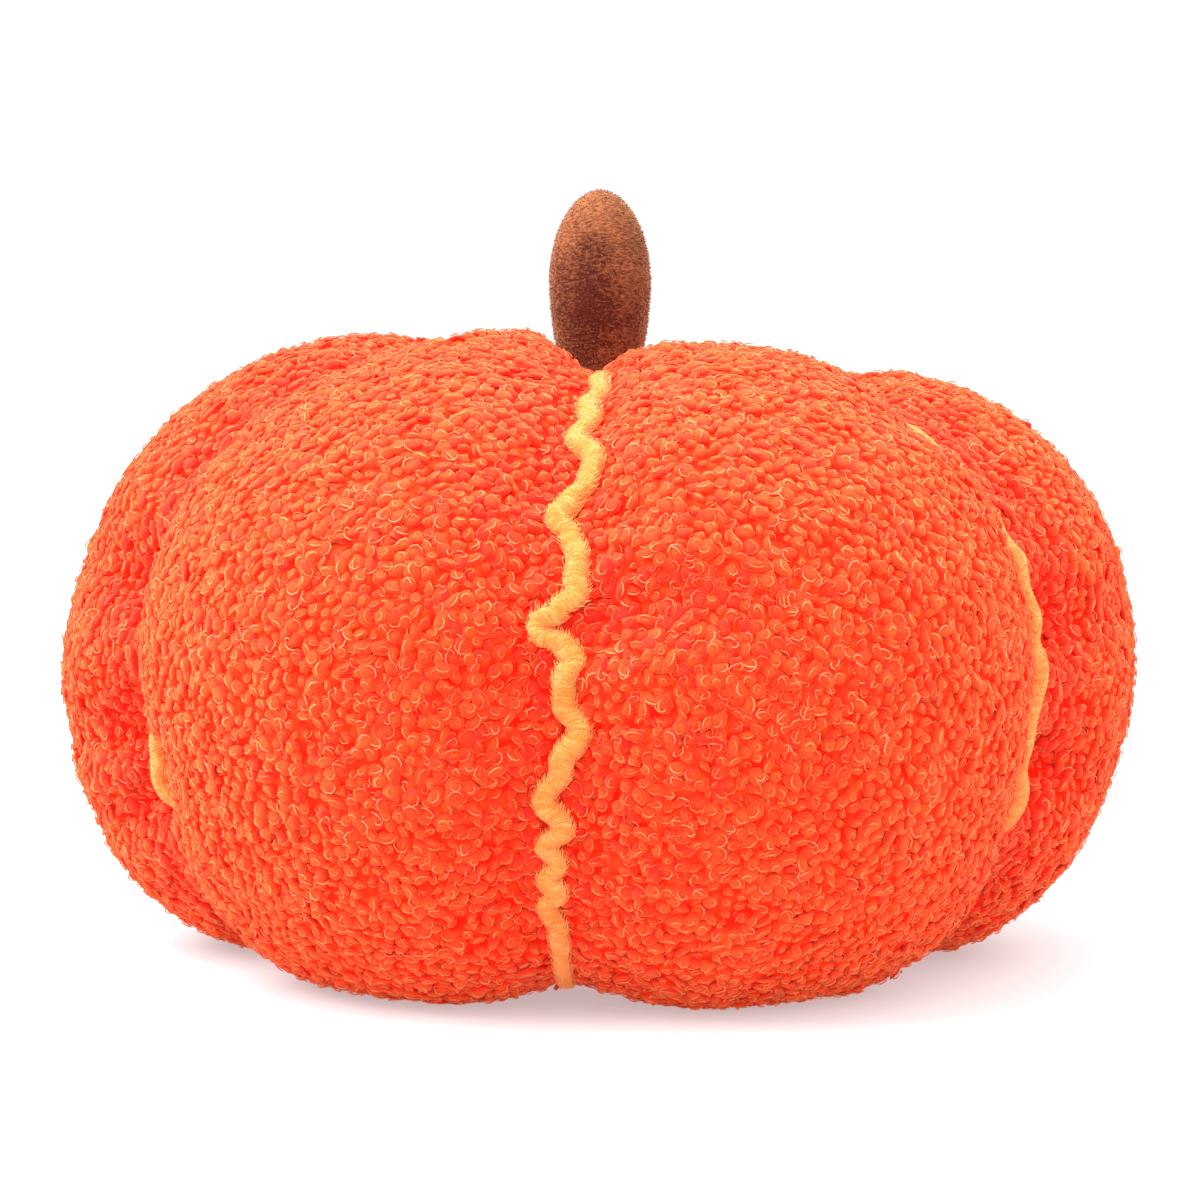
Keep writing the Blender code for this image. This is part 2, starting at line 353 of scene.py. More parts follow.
def goreSide(lobeIndex, reach, side, turn):
    # Points of half a gore; reach runs from 0 at its middle to 1 at its seam,
    # side is 1 towards its right seam and -1 towards its left one
    shape = cushionShape
    seam = lobeIndex if side > 0 else (lobeIndex - 1) % len(seams)
    reach, turn = np.broadcast_arrays(reach, turn)
    crestR, crestZ, slopeR, slopeZ = lobeProfile(lobes[lobeIndex], turn)
    seamR, seamZ = seamProfile(seam, turn)
    power = np.maximum(shape["softPower"], shape["pinchPower"] * crestR / lobes[lobeIndex].reach)
    drop = mix(reach ** shape["softPower"], reach ** power, shape["pinchShare"])
    radius, height = mix(crestR, seamR, drop), mix(crestZ, seamZ, drop)
    bend = seamBend(seam, turn)
    swell = -side * shape["gatherShare"] * bend - pleatDepth(seam, -side, turn) * shape["pleatGain"]
    swell = folded(swell, reach, turn)
    length = np.hypot(slopeR, slopeZ)
    radius, height = radius + swell * slopeZ / length, height - swell * slopeR / length
    low, high = goreSpan(lobeIndex)
    bearing = (low + high) / 2 + side * reach * (high - low) / 2
    bearing = bearing + np.degrees(bend / radius) * reach ** shape["sidewaysPower"]
    return atBearing(radius, bearing, np.maximum(height, 0.0))


def unit(vectors):
    return vectors / np.maximum(np.linalg.norm(vectors, axis=-1, keepdims=True), 1e-12)


def squareTo(along, vectors):
    # Unit vectors of what the vectors have square to a direction
    return unit(vectors - np.sum(vectors * along, axis=1, keepdims=True) * along)


def newPiece(name, points, faces, finish):
    # A named object with smooth faces, its place in its mesh
    mesh = bpy.data.meshes.new(name)
    mesh.from_pydata([tuple(p) for p in points], [], faces)
    mesh.shade_smooth()
    mesh.materials.append(finish)
    made = bpy.data.objects.new(name, mesh)
    bpy.context.scene.collection.objects.link(made)
    return made


def meshPoints(mesh):
    points = np.zeros(len(mesh.vertices) * 3, np.float32)
    mesh.vertices.foreach_get("co", points)
    return points.reshape(-1, 3)


def movePoints(mesh, points, floorGap):
    # Puts a mesh's points in new places, all of them above the floor
    points[:, 2] = np.maximum(points[:, 2], floorGap)
    mesh.vertices.foreach_set("co", points.ravel())
    mesh.update()


def setValues(mesh, name, values, kind="FLOAT", domain="POINT"):
    # Stores one number or vector for each point or face
    store = mesh.attributes.new(name, kind, domain)
    field = "vector" if kind == "FLOAT_VECTOR" else "value"
    store.data.foreach_set(field, np.asarray(values, np.float32).ravel())


def ringFaces(rows, columns):
    # Quads between closed rings of points
    faces = []
    for row in range(rows - 1):
        for column in range(columns):
            beside = (column + 1) % columns
            here, above = row * columns, (row + 1) * columns
            faces.append((here + column, here + beside, above + beside, above + column))
    return faces


def closedFaces(rows, columns):
    # The same quads, with a lid on the first ring and on the last one
    lids = [tuple(range(columns))[::-1], tuple(range((rows - 1) * columns, rows * columns))]
    return ringFaces(rows, columns) + lids


# The cover: one closed skin that the curls grow on

coverChoices = {
    "outerRows": 108,           # from the foot over the waist to the crest
    "innerRows": 22,            # from the crest or the foot to its hub
    "halfColumns": 12,          # from a gore's middle to its seam
    "columnBias": 1.6,          # above 1, the columns crowd towards the seams
    "pileDepth": 0.0019,        # how far the skin lies under the curls' tips
    "pileFade": 0.009,          # width beside a seam over which the pile thins out
    "hubFade": 16.0,            # degrees before a hub over which the pile thins out
    "bulgeEase": 8.0,           # degrees over which a bulge starts or ends
    "leanReach": (0.002, 0.009, 0.040),     # distances to the seam where a lean starts, peaks, ends
    "swellReach": (0.001, 0.016, 0.062),
    "paintedShadeReach": (0.000, 0.044),            # the painted shade beside a seam ends at the second
    "pleatPaintedShade": 130.0,         # painted shade for each metre that a pleat sinks
    "underTurn": -100.0,        # below this turn the cushion rests on its pile
    "floorGap": 0.0004,
    "fill": 0.8,
}


# Beside these seams the pile gets painted shade on both sides
paintedSeamShades = {"Front": 0.35, "BackRight": 0.5, "Back": 0.5, "BackLeft": 0.5}

# What the pile does beside a seam: the lobe before it (-1) or after it (1), its first and last
# turn, how far the wall leans over the piping, how far it swells and how deep its painted shade gets
bulges = table(
    "seam side first last lean swell tone",
    ("Left", 1, -14, 150, 0.0045, 0.0035, 0.0),
    ("Left", 1, -31, -14, -0.0010, 0.0005, 0.0),
    ("Left", 1, -115, -31, 0.0045, 0.0035, 0.0),
    ("Right", -1, 30, 150, 0.0045, 0.0035, 0.0),
    ("Right", -1, -36, 30, -0.0013, 0.0010, 0.0),
    ("Right", -1, -115, -36, 0.0045, 0.0035, 0.0),
    ("Left", -1, -110, 140, 0.0, -0.0060, 1.0),
    ("Right", 1, -110, 140, 0.0, -0.0060, 1.0),
    ("Front", -1, 84, 150, 0.0045, 0.0030, 0.0),
    ("Front", 1, 84, 150, 0.0045, 0.0030, 0.0),
    *((name, side, -110, 140, 0.0, 0.0, tone) for name, tone in paintedSeamShades.items() for side in (-1, 1)),
)


def bulge(index, side, turns):
    # How far a lobe's wall leans and swells beside a seam, and the painted shade there
    total = np.zeros((3,) + turns.shape)
    for row in bulges:
        if row.seam == seams[index].name and row.side == side:
            soft = coverChoices["bulgeEase"]
            share = ease((turns - row.first) / soft + 0.5) * ease((row.last - turns) / soft + 0.5)
            total += np.array([row.lean, row.swell, row.tone]).reshape((3,) + (1,) * turns.ndim) * share
    return total


def coverTurns():
    inner = np.linspace(-180.0, -90.0, coverChoices["innerRows"], endpoint=False)
    outer = np.linspace(-90.0, 90.0, coverChoices["outerRows"] + 1)
    return np.concatenate([inner, outer, -inner[::-1]])


def hump(gap, places):
    # Rises from 0 at the first place to 1 at the second, and back to 0 at the third
    start, peak, end = places
    return ease((gap - start) / (peak - start)) * ease((end - gap) / (end - peak))


def goreGrid(index, turns, reach, extraDepth):
    # One gore's points, how far each one is from its seam and how deep its painted shade is
    choices = coverChoices
    left = goreSide(index, reach[None, ::-1], -1, turns)
    right = goreSide(index, reach[None, 1:], 1, turns)
    points = np.concatenate([left, right], axis=1)
    across = np.concatenate([-reach[::-1], reach[1:]])
    low, high = goreSpan(index)
    radius = np.hypot(points[..., 0] - hubX, points[..., 1] - hubY)
    gap = (1.0 - np.abs(across))[None, :] * radius * math.radians((high - low) / 2)
    before = (index - 1) % len(seams)
    leanLeft, swellLeft, paintedShadeLeft = bulge(before, 1, turns)
    leanRight, swellRight, paintedShadeRight = bulge(index, -1, turns)
    lean = np.where(across < 0.0, -leanLeft, leanRight) * hump(gap, choices["leanReach"])
    swell = np.where(across < 0.0, swellLeft, swellRight) * hump(gap, choices["swellReach"])
    # painted shade: the pile's colour is deeper beside some seams and in the pleats, where shade falls
    nearest, furthest = choices["paintedShadeReach"]
    tone = np.where(across < 0.0, paintedShadeLeft, paintedShadeRight) * ease((furthest - gap) / (furthest - nearest))
    sunk = np.where(across < 0.0, pleatDepth(before, 1, turns), pleatDepth(index, -1, turns))
    tone = tone + folded(sunk, across, turns) * choices["pleatPaintedShade"]
    normal = unit(np.cross(np.gradient(points, axis=1), np.gradient(points, axis=0)))
    aside = unit(np.gradient(points, axis=1))
    points = points + aside * lean[..., None] + normal * swell[..., None]
    depth = choices["pileDepth"] * ease(gap / choices["pileFade"])
    depth = depth + extraDepth * ease(gap / choices["pileFade"] / 2)
    depth = depth * ease((180.0 - np.abs(turns)) / choices["hubFade"])
    points = points - normal * depth[..., None]
    points[..., 2] = np.maximum(points[..., 2], choices["floorGap"])
    return points[:, :-1], gap[:, :-1], np.clip(tone, 0.0, 1.0)[:, :-1]


def coverGrid(extraDepth):
    # The gores side by side, each one without its last column, which is the next one's first
    steps = np.linspace(0.0, 1.0, coverChoices["halfColumns"] + 1)
    reach = 1.0 - (1.0 - steps) ** coverChoices["columnBias"]
    turns = coverTurns()[:, None]
    gores = [goreGrid(index, turns, reach, extraDepth) for index in range(len(lobes))]
    return [np.concatenate(part, axis=1) for part in zip(*gores)]


def buildCover(finish, extraDepth):
    points, gaps, paintedShades = coverGrid(extraDepth)
    rows, columns = points.shape[:2]
    faces = closedFaces(rows, columns)
    cover = newPiece("cushionCover", points.reshape(-1, 3), faces, finish)
    setValues(cover.data, "seamGap", gaps)
    setValues(cover.data, "valley", paintedShades)
    faceColumns = np.arange(len(faces)) % columns
    setValues(cover.data, "gore", faceColumns // (columns // len(lobes)), domain="FACE")
    kept = np.where(coverTurns() < coverChoices["underTurn"], curlChoices["underShare"], 1.0)
    setValues(cover.data, "keep", np.repeat(kept, columns))
    return cover


clothChoices = {
    "pressure": 4.0,
    "frames": 20,
    "quality": 4,
    "mass": 0.2,
    "tension": 20.0,
    "bending": 0.3,
    "shrink": -0.03,            # below 0, the cloth has more length than its form
    "heldGap": 0.002,           # the cloth is held this near to its seams
    "cap": 0.006,               # the furthest that a point may move
    "extraDepth": 0.002,        # the cover starts this much smaller, because it swells
}


def settleCover(cover):
    # Cloth under pressure, held at the seams and hubs: the spare cloth puckers there
    choices = clothChoices
    scene = bpy.context.scene
    start = meshPoints(cover.data)
    gaps = np.zeros(len(start), np.float32)
    cover.data.attributes["seamGap"].data.foreach_get("value", gaps)
    held = cover.vertex_groups.new(name="held")
    held.add(np.flatnonzero(gaps < choices["heldGap"]).tolist(), 1.0, "REPLACE")
    fabric = cover.modifiers.new("fabric", "CLOTH")
    fabric.collision_settings.use_collision = False
    settings = fabric.settings
    settings.quality = choices["quality"]
    settings.mass = choices["mass"]
    settings.tension_stiffness = choices["tension"]
    settings.compression_stiffness = choices["tension"]
    settings.bending_stiffness = choices["bending"]
    settings.use_pressure = True
    settings.uniform_pressure_force = choices["pressure"]
    settings.vertex_group_mass = "held"
    settings.shrink_min = choices["shrink"]
    settings.effector_weights.gravity = 0.0
    for number in range(1, choices["frames"] + 1):
        scene.frame_set(number)
    seen = cover.evaluated_get(bpy.context.evaluated_depsgraph_get())
    move = meshPoints(seen.data) - start
    cover.modifiers.remove(fabric)
    scene.frame_set(1)
    length = np.linalg.norm(move, axis=1, keepdims=True)
    cap = choices["cap"]
    move = move / np.maximum(length, 1e-9) * cap * np.tanh(length / cap)
    movePoints(cover.data, start + move, coverChoices["floorGap"])
    cover.vertex_groups.clear()
    moved = 1000.0 * float(np.linalg.norm(move, axis=1).mean())
    print("cover settled, moved", round(moved, 2), "mm on average")


# Pile colours: the deep ones are painted shade at the roots, between the lumps and in the valleys; the lock
# colour is a painted highlight
pileColors = {
    "groundShade": (0.82, 0.007, 0.001, 1.0),
    "groundPale": (0.92, 0.055, 0.009, 1.0),
    "curlRootShade": (0.82, 0.006, 0.001, 1.0),
    "curlPale": (0.97, 0.080, 0.006, 1.0),
    "lock": (1.0, 0.22, 0.10, 1.0),
    "sheen": (1.0, 0.44, 0.12, 1.0),
}
paintedPileGlow = 0.07                 # painted glow that stands in for light that scatters within the pile


def groundFinish():
    # The ground between the curls, with the lumps of the shorter pile; deeper between the lumps and in the
    # valleys as painted shade
    made, sheet = newFinish("sherpaGround")
    place = sheet.place()
    grain = sheet.noise(place, 900.0, 2.0, 0.6)
    lumps = sheet.node("ShaderNodeTexVoronoi", {"feature": "SMOOTH_F1"},
                       {"Vector": place, "Scale": 230.0, "Smoothness": 0.6})
    height = (1.0 - lumps * 1.4).clamped() + grain * 0.25
    valley = sheet.attribute("valley")
    # painted shade between the lumps and beside the seams
    pale = (height - valley * 0.5 - 0.1).clamped()
    color = sheet.mixColor(pileColors["groundShade"], pileColors["groundPale"], pale)
    endFinish(sheet, color, 0.95, 0.1, relief=(height, 0.0014, 0.9), glow=(color, paintedPileGlow))
    return made


# The pile: low lumps with fine locks curled over them, grown on the cover by Geometry Nodes

curlChoices = {
    "spacing": 0.0040,          # the least distance between two curls' roots
    "density": 900000.0,        # roots tried on each square metre
    "seamClear": 0.0010,        # bare width beside a seam
    "lean": 0.45,               # how far a curl may tip over, 1 for about 45 degrees
    "small": 0.80,
    "large": 1.40,
    "sink": 0.0003,             # how deep a curl's foot sits in the cover
    "clump": 0.0007,            # how much deeper the curls sit between two clumps
    "underShare": 0.3,          # share of the curls that is kept where the cushion rests
    "paleLift": 0.0019,         # a curl gets paler up to this height, from painted shade at its root
    "lumpSides": 5,
    "lumpRings": ((1.0, 0.0), (0.85, 0.60)),     # a lump's rings: share of its width, of its height
    "lumpRough": 0.24,          # how uneven a lump is, a share of its width
    "lockRadius": 0.00019,
    "lockSteps": 4,
    "lockSides": 3,
    "lockLift": 0.00010,        # how far a lock's middle line lies over its lump at its ends
    "lockArch": 0.00035,        # and how much further in its middle
    "lineStretch": 250.0,       # along a strand, fibre lines change this slowly for each metre
    "floorGap": 0.0002,
    "seed": 7,
}

# One row for each shape: half of the lump's width, half of its length, and its height
curlShapes = table(
    "name wide long height",
    ("button", 0.0031, 0.0033, 0.0015),
    ("bud", 0.0025, 0.0029, 0.0019),
    ("shell", 0.0027, 0.0037, 0.0014),
    ("crescent", 0.0023, 0.0038, 0.0017),
    ("snail", 0.0032, 0.0034, 0.0016),
    ("bean", 0.0022, 0.0036, 0.0019),
    ("knot", 0.0027, 0.0029, 0.0020),
)

# Locks that lie on the lumps in arcs: radius, where the arc's middle lies, its first angle and
# its span in turns, and how far it winds in
locks = table(
    "shape radius x y first span wind",
    ("button", 0.0022, 0.0000, 0.0000, 0.10, 0.55, 0.15),
    ("bud", 0.0013, 0.0004, 0.0000, 0.35, 0.60, 0.00),
    ("shell", 0.0024, 0.0008, 0.0000, 0.60, 0.38, 0.20),
    ("shell", 0.0012, -0.0004, -0.0014, 0.15, 0.50, 0.30),
    ("crescent", 0.0021, 0.0014, 0.0002, 0.25, 0.40, 0.05),
    ("snail", 0.0022, 0.0002, 0.0000, 0.80, 0.60, 0.40),
    ("snail", 0.0030, -0.0016, 0.0010, 0.80, 0.25, 0.00),
    ("bean", 0.0030, 0.0020, 0.0000, 0.40, 0.26, 0.00),
    ("knot", 0.0015, 0.0003, 0.0000, 0.05, 0.60, 0.30),
    ("knot", 0.0024, -0.0012, -0.0010, 0.55, 0.30, 0.00),
)


def tubeFaces(rows, sides):
    # A closed skin over rings of points with one point before and one after them
    last = 1 + rows * sides
    faces = []
    for side in range(sides):
        beside = (side + 1) % sides
        faces.append((0, 1 + beside, 1 + side))
        faces.append((last, last - sides + side, last - sides + beside))
    for here in range(1, last - sides, sides):
        for side in range(sides):
            beside = (side + 1) % sides
            faces.append((here + side, here + beside, here + sides + beside, here + sides + side))
    return faces


def curlLump(row, chance):
    # A low uneven lump, closed underneath
    choices = curlChoices
    sides, rings = choices["lumpSides"], choices["lumpRings"]
    rough = choices["lumpRough"]
    points, lines = [], []
    for level, (wide, high) in enumerate(rings):
        for side in range(sides):
            around = 2.0 * math.pi * (side + 0.5 * level) / sides
            reach = wide * (1.0 + chance.uniform(-rough, rough))
            x, y = row.wide * reach * math.cos(around), row.long * reach * math.sin(around)
            points.append((x, y, row.height * high))
            lines.append((x * choices["lineStretch"], y * choices["lineStretch"], high))
    x, y = row.wide * chance.uniform(-rough, rough), row.long * chance.uniform(-rough, rough)
    points.append((x, y, row.height))
    lines.append((x * choices["lineStretch"], y * choices["lineStretch"], 1.0))
    faces = ringFaces(len(rings), sides) + [tuple(range(sides))[::-1]]
    last = (len(rings) - 1) * sides
    faces += [(last + side, last + (side + 1) % sides, len(points) - 1) for side in range(sides)]
    return points, lines, faces


def curlLock(lock, lump):
    # A fine lock of fibres that arches over its lump, pinched shut at both ends
    choices = curlChoices
    steps = np.linspace(0.0, 1.0, choices["lockSteps"] + 1)
    turned = 2.0 * math.pi * (lock.first + lock.span * steps)
    radius = lock.radius * (1.0 - lock.wind * steps)
    x, y = lock.x + radius * np.cos(turned), lock.y + radius * np.sin(turned)
    edge = np.clip(1.0 - (x / lump.wide) ** 2 - (y / lump.long) ** 2, 0.0, 1.0)
    arch = choices["lockLift"] + choices["lockArch"] * np.sin(math.pi * steps)
    centers = np.stack([x, y, lump.height * np.sqrt(edge) + arch], axis=1)
    radii = choices["lockRadius"] * (0.7 + 0.5 * np.sin(math.pi * steps))
    along = unit(np.gradient(centers, axis=0))
    aside = unit(np.cross(along, (0.0, 0.0, 1.0)))
    upward = np.cross(aside, along)
    points = [centers[0]]
    for place in range(1, choices["lockSteps"]):
        for side in range(choices["lockSides"]):
            angle = 2.0 * math.pi * (side + 0.25) / choices["lockSides"]
            offset = math.cos(angle) * aside[place] + math.sin(angle) * upward[place]
            points.append(centers[place] + radii[place] * offset)
    points.append(centers[-1])
    return points, tubeFaces(choices["lockSteps"] - 1, choices["lockSides"])


def addSource(sources, name, points, lines, faces, smooth=True):
    # One shape that the growth tree picks, with its height and its fibre lines
    mesh = bpy.data.meshes.new(name)
    mesh.from_pydata([tuple(p) for p in points], [], faces)
    for polygon in mesh.polygons:
        # A lump's underside stays flat, so that its rim isn't shaded dark
        polygon.use_smooth = smooth and len(polygon.vertices) < 5
    setValues(mesh, "strandMap", lines, "FLOAT_VECTOR")
    setValues(mesh, "lift", [p[2] for p in points])
    sources.objects.link(bpy.data.objects.new(name + "Source", mesh))
    return mesh


def curlSources():
    # The shapes that the pile picks from, in a collection that the scene doesn't show
    sources = bpy.data.collections.new("curlShapes")
    chance = np.random.default_rng(curlChoices["seed"])
    for row in curlShapes:
        points, lines, faces = curlLump(row, chance)
        fineness = [0.0] * len(points)
        for lock in locks:
            if lock.shape == row.name:
                strand, strandFaces = curlLock(lock, row)
                faces += [tuple(corner + len(points) for corner in face) for face in strandFaces]
                points, lines = points + strand, lines + [(0.0, 1.0, 0.0)] * len(strand)
                fineness += [1.0] * len(strand)
        mesh = addSource(sources, row.name, points, lines, faces)
        setValues(mesh, "fineness", fineness)
    return sources


def growthTree():
    # Sets shapes on a skin: roots at least a spacing apart, each turned and tipped its own way.
    # Its inputs have the names that the dictionaries of the curls and hairs use.
    tree = bpy.data.node_groups.new("growth", "GeometryNodeTree")
    inputs = [("skin", "Geometry"), ("shapes", "Collection"), ("finish", "Material"), ("seed", "Int")]
    inputs += [(name, "Float") for name in ("gore", "spacing", "density", "seamClear", "nap", "lean",
                                            "small", "large", "sink", "clump")]
    for name, kind in inputs:
        tree.interface.new_socket(name, in_out="INPUT", socket_type="NodeSocket" + kind)
    tree.interface.new_socket("growth", in_out="OUTPUT", socket_type="NodeSocketGeometry")
    sheet = Sheet(tree)
    value = sheet.node("NodeGroupInput").out

    def stored(name, kind="FLOAT"):
        return sheet.node("GeometryNodeInputNamedAttribute", {"data_type": kind}, {"Name": name})

    def chance(low, high, step, kind="FLOAT"):
        return sheet.node("FunctionNodeRandomValue", {"data_type": kind},
                          {"Min": low, "Max": high, "Seed": value("seed") + step})

    sameGore = sheet.math("COMPARE", stored("gore"), value("gore"), 0.1)
    clear = stored("seamGap") > value("seamClear")
    roots = sheet.node("GeometryNodeDistributePointsOnFaces", {"distribute_method": "POISSON"},
                       {"Mesh": value("skin"), "Distance Min": value("spacing"),
                        "Density Max": value("density"), "Density Factor": stored("keep"),
                        "Selection": sameGore * clear, "Seed": value("seed")})
    normal = roots.out("Normal")
    sideways = chance((-1.0, -1.0, -1.0), (1.0, 1.0, 1.0), 1, "FLOAT_VECTOR")
    tipped = sheet.vector("SCALE", sideways, scale=chance(0.0, value("lean"), 2))
    combed = sheet.vector("SCALE", stored("nap", "FLOAT_VECTOR"), scale=value("nap"))
    upward = sheet.vector("ADD", sheet.vector("ADD", normal, tipped), combed)
    stood = sheet.node("FunctionNodeAlignRotationToVector", {"axis": "Z"}, {"Vector": upward})
    spun = sheet.node("FunctionNodeAxisAngleToRotation", None,
                      {"Axis": (0.0, 0.0, 1.0), "Angle": chance(0.0, 2.0 * math.pi, 3)})
    turned = sheet.node("FunctionNodeRotateRotation", {"rotation_space": "LOCAL"},
                        {"Rotation": stood, "Rotate By": spun})
    clump = sheet.noise(sheet.node("GeometryNodeInputPosition"), 95.0, 1.0, 0.5)
    dip = (clump * -5.0 + 2.9).clamped()
    sunk = sheet.vector("SCALE", normal, scale=value("sink") * -1.0 - value("clump") * dip)
    placed = sheet.node("GeometryNodeSetPosition", None, {"Geometry": roots.out("Points"), "Offset": sunk})
    picked = sheet.node("GeometryNodeCollectionInfo", None,
                        {"Collection": value("shapes"), "Separate Children": True, "Reset Children": True})
    copies = sheet.node("GeometryNodeInstanceOnPoints", None,
                        {"Points": placed, "Instance": picked, "Pick Instance": True,
                         "Rotation": turned, "Scale": chance(value("small"), value("large"), 4)})
    shaded = sheet.node("GeometryNodeStoreNamedAttribute", {"data_type": "FLOAT", "domain": "INSTANCE"},
                        {"Geometry": copies, "Name": "shade", "Value": chance(0.0, 1.0, 5)})
    joined = sheet.node("GeometryNodeRealizeInstances", None, {"Geometry": shaded})
    ready = sheet.node("GeometryNodeSetMaterial", None, {"Geometry": joined, "Material": value("finish")})
    sheet.node("NodeGroupOutput", None, {"growth": ready})
    return tree


def grown(name, skin, shapes, choices, finish, gore=0.0):
    # A plain mesh of what the growth tree sets on a skin
    piece = bpy.data.objects.new(name, skin.data.copy())
    bpy.context.scene.collection.objects.link(piece)
    growth = piece.modifiers.new("growth", "NODES")
    growth.node_group = growTree
    given = dict(choices, shapes=shapes, finish=finish, gore=gore)
    for item in growTree.interface.items_tree:
        if item.name in given:
            growth[item.identifier] = given[item.name]
    seen = piece.evaluated_get(bpy.context.evaluated_depsgraph_get())
    mesh = bpy.data.meshes.new_from_object(seen)
    piece.modifiers.remove(growth)
    piece.data = mesh
    movePoints(mesh, meshPoints(mesh), choices["floorGap"])
    print(name, "has", len(mesh.loops) - 2 * len(mesh.polygons), "triangles")
    return piece


def dropShapes(shapes):
    for source in list(shapes.objects):
        bpy.data.objects.remove(source)
    bpy.data.collections.remove(shapes)


def curlFinish():
    # Curls: deep orange at the root and in the valleys as painted shade, paler on top, with painted
    # highlights on the fine locks
    made, sheet = newFinish("sherpaCurls")
    shade = sheet.attribute("shade")
    valley = sheet.attribute("valley")
    lift = (sheet.attribute("lift") / curlChoices["paleLift"]).clamped()
    apart = sheet.node("ShaderNodeCombineXYZ", None, {"Z": shade * 91.0})
    spot = sheet.vector("ADD", sheet.attribute("strandMap", "Vector"), apart)
    fibre = sheet.noise(spot, 7.0, 4.0, 0.75)
    fine = sheet.attribute("fineness")
    # painted shade: deeper at the roots and in the valleys, paler towards the tips
    pale = (lift * 1.35 + shade * 0.2 + fibre * 2.4 - valley * 0.75 - 1.8).clamped()
    body = sheet.mixColor(pileColors["curlRootShade"], pileColors["curlPale"], pale)
    # painted highlights on the fine locks, dimmed by the painted shade in the valleys
    glint = (shade * 0.9 - valley * 0.3 + 0.2).clamped()
    color = sheet.mixColor(body, pileColors["lock"], fine * glint)
    sheen = (0.8, 0.38, pileColors["sheen"])
    endFinish(sheet, color, 0.6, 0.2, relief=(fibre, 0.0005, 0.9), sheen=sheen, glow=(body, paintedPileGlow))
    return made


def readySkin(mesh, nap, kept):
    # What the growth tree reads from a skin of hairs, which is one gore without seams
    setValues(mesh, "nap", nap, "FLOAT_VECTOR")
    setValues(mesh, "keep", kept)
    setValues(mesh, "seamGap", np.ones(len(mesh.vertices)))
    setValues(mesh, "gore", np.zeros(len(mesh.polygons)), domain="FACE")


# The piping: folded plush that stands in each seam, with its hairs combed to both sides

pipingChoices = {
    "gap": 0.0008,              # between the piping and the seam's floor
    "width": 0.0080,
    "height": 0.0075,
    "endTurn": 146.0,
    "taperTurn": 78.0,
    "endShare": 0.35,
    "footShare": 0.68,
    "seamPull": 0.6,
    "rowTurn": 0.9,             # degrees between two rows of the tube
    "wallReach": 0.92,          # where on the gores the lean of the piping is taken
    "thinOut": 15.0,            # degrees over which its hairs thin out underneath and near the hubs
    "thinShare": 0.6,
    "uneven": 0.10,             # share by which its width wanders
    "crimp": 1.0,               # how much further its ridge bends than its foot
    "ruffle": 0.0012,           # the side pipings' ridges wander this far besides
    "ruffles": 27,
    "crimpSpan": 17,            # rows over which the bends are evened out to find a crimp
    "squeeze": 0.45,            # share that it gives up where the gores close over it
    "closedLean": 0.0050,
    "forward": 0.7,             # how far its hairs are combed along it
    "combLines": 1900.0,        # lines in its colour for each metre
    # the root colour is painted shade among the hairs
    "root": (0.83, 0.16, 0.013, 1.0),
    "tip": (1.0, 0.51, 0.18, 1.0),
    "sheen": (1.0, 0.82, 0.5, 1.0),
}

# Half of the piping's section: across as a share of half its width, height as a share of its own
pipingSection = table(
    "across height",
    (0.0, 0.0),
    (0.34, 0.12),
    (0.66, 0.33),
    (0.92, 0.58),
    (0.88, 0.80),
    (0.52, 0.96),
    (0.0, 1.0),
)

hairChoices = {
    "spacing": 0.00084,
    "density": 5000000.0,
    "seamClear": 0.0,
    "nap": 1.5,
    "lean": 0.35,
    "small": 0.65,
    "large": 1.35,
    "sink": 0.0003,
    "seed": 21,
    "floorGap": 0.0003,
    "length": 0.0019,
    "thickness": 0.00019,
}


def pipingRows(index):
    # The seam's floor, and the directions along, out of and across it, row by row
    choices = pipingChoices
    count = int(2.0 * choices["endTurn"] / choices["rowTurn"]) + 1
    turns = np.linspace(-choices["endTurn"], choices["endTurn"], count)
    follower = (index + 1) % len(lobes)
    floor = goreSide(index, 1.0, 1, turns)
    along = unit(np.gradient(floor, axis=0))
    radius, height = seamProfile(index, turns)
    before, after = lobeProfile(lobes[index], turns), lobeProfile(lobes[follower], turns)
    slopeR, slopeZ = (before[2] + after[2]) / 2, (before[3] + after[3]) / 2
    length = np.hypot(slopeR, slopeZ)
    bearing = math.radians(seams[index].bearing)
    outR, outZ = slopeZ / length, -slopeR / length
    outward = np.stack([outR * math.sin(bearing), -outR * math.cos(bearing), outZ], axis=1)
    total = outward * choices["seamPull"]
    for wall in (goreSide(index, choices["wallReach"], 1, turns) - floor,
                 goreSide(follower, choices["wallReach"], -1, turns) - floor):
        total = total + squareTo(along, wall)
    out = squareTo(along, total)
    return turns, floor, out, np.cross(along, out)


def pipingSize(index, turns, closed):
    # Its width and height as shares of the full ones, row by row
    choices = pipingChoices
    end = ease((np.abs(turns) - choices["taperTurn"]) / (choices["endTurn"] - choices["taperTurn"]))
    under = np.where(turns < 0.0, choices["footShare"], 1.0)
    share = mix(mix(1.0, under, 1.0 - rimShare(turns)), choices["endShare"], end)
    share = share * (1.0 - choices["squeeze"] * closed)
    wave = np.radians(turns)
    wander = 0.6 * np.sin(23.0 * wave + 2.0 * index) + 0.4 * np.sin(41.0 * wave + index)
    wide = share * (1.0 + choices["uneven"] * wander)
    tall = share * (1.0 + choices["uneven"] * np.sin(choices["ruffles"] * wave + 2.0 + index))
    return wide, tall


def pipingCrimp(index, turns):
    # How far its ridge bends aside of its foot
    choices = pipingChoices
    bend = seamBend(index, turns)
    span = choices["crimpSpan"]
    even = np.convolve(np.pad(bend, span // 2, "edge"), np.ones(span) / span, "valid")
    ruffle = choices["ruffle"] * np.sin(choices["ruffles"] * np.radians(turns) + index)
    return (bend - even) * choices["crimp"] + ruffle * (index > 0)


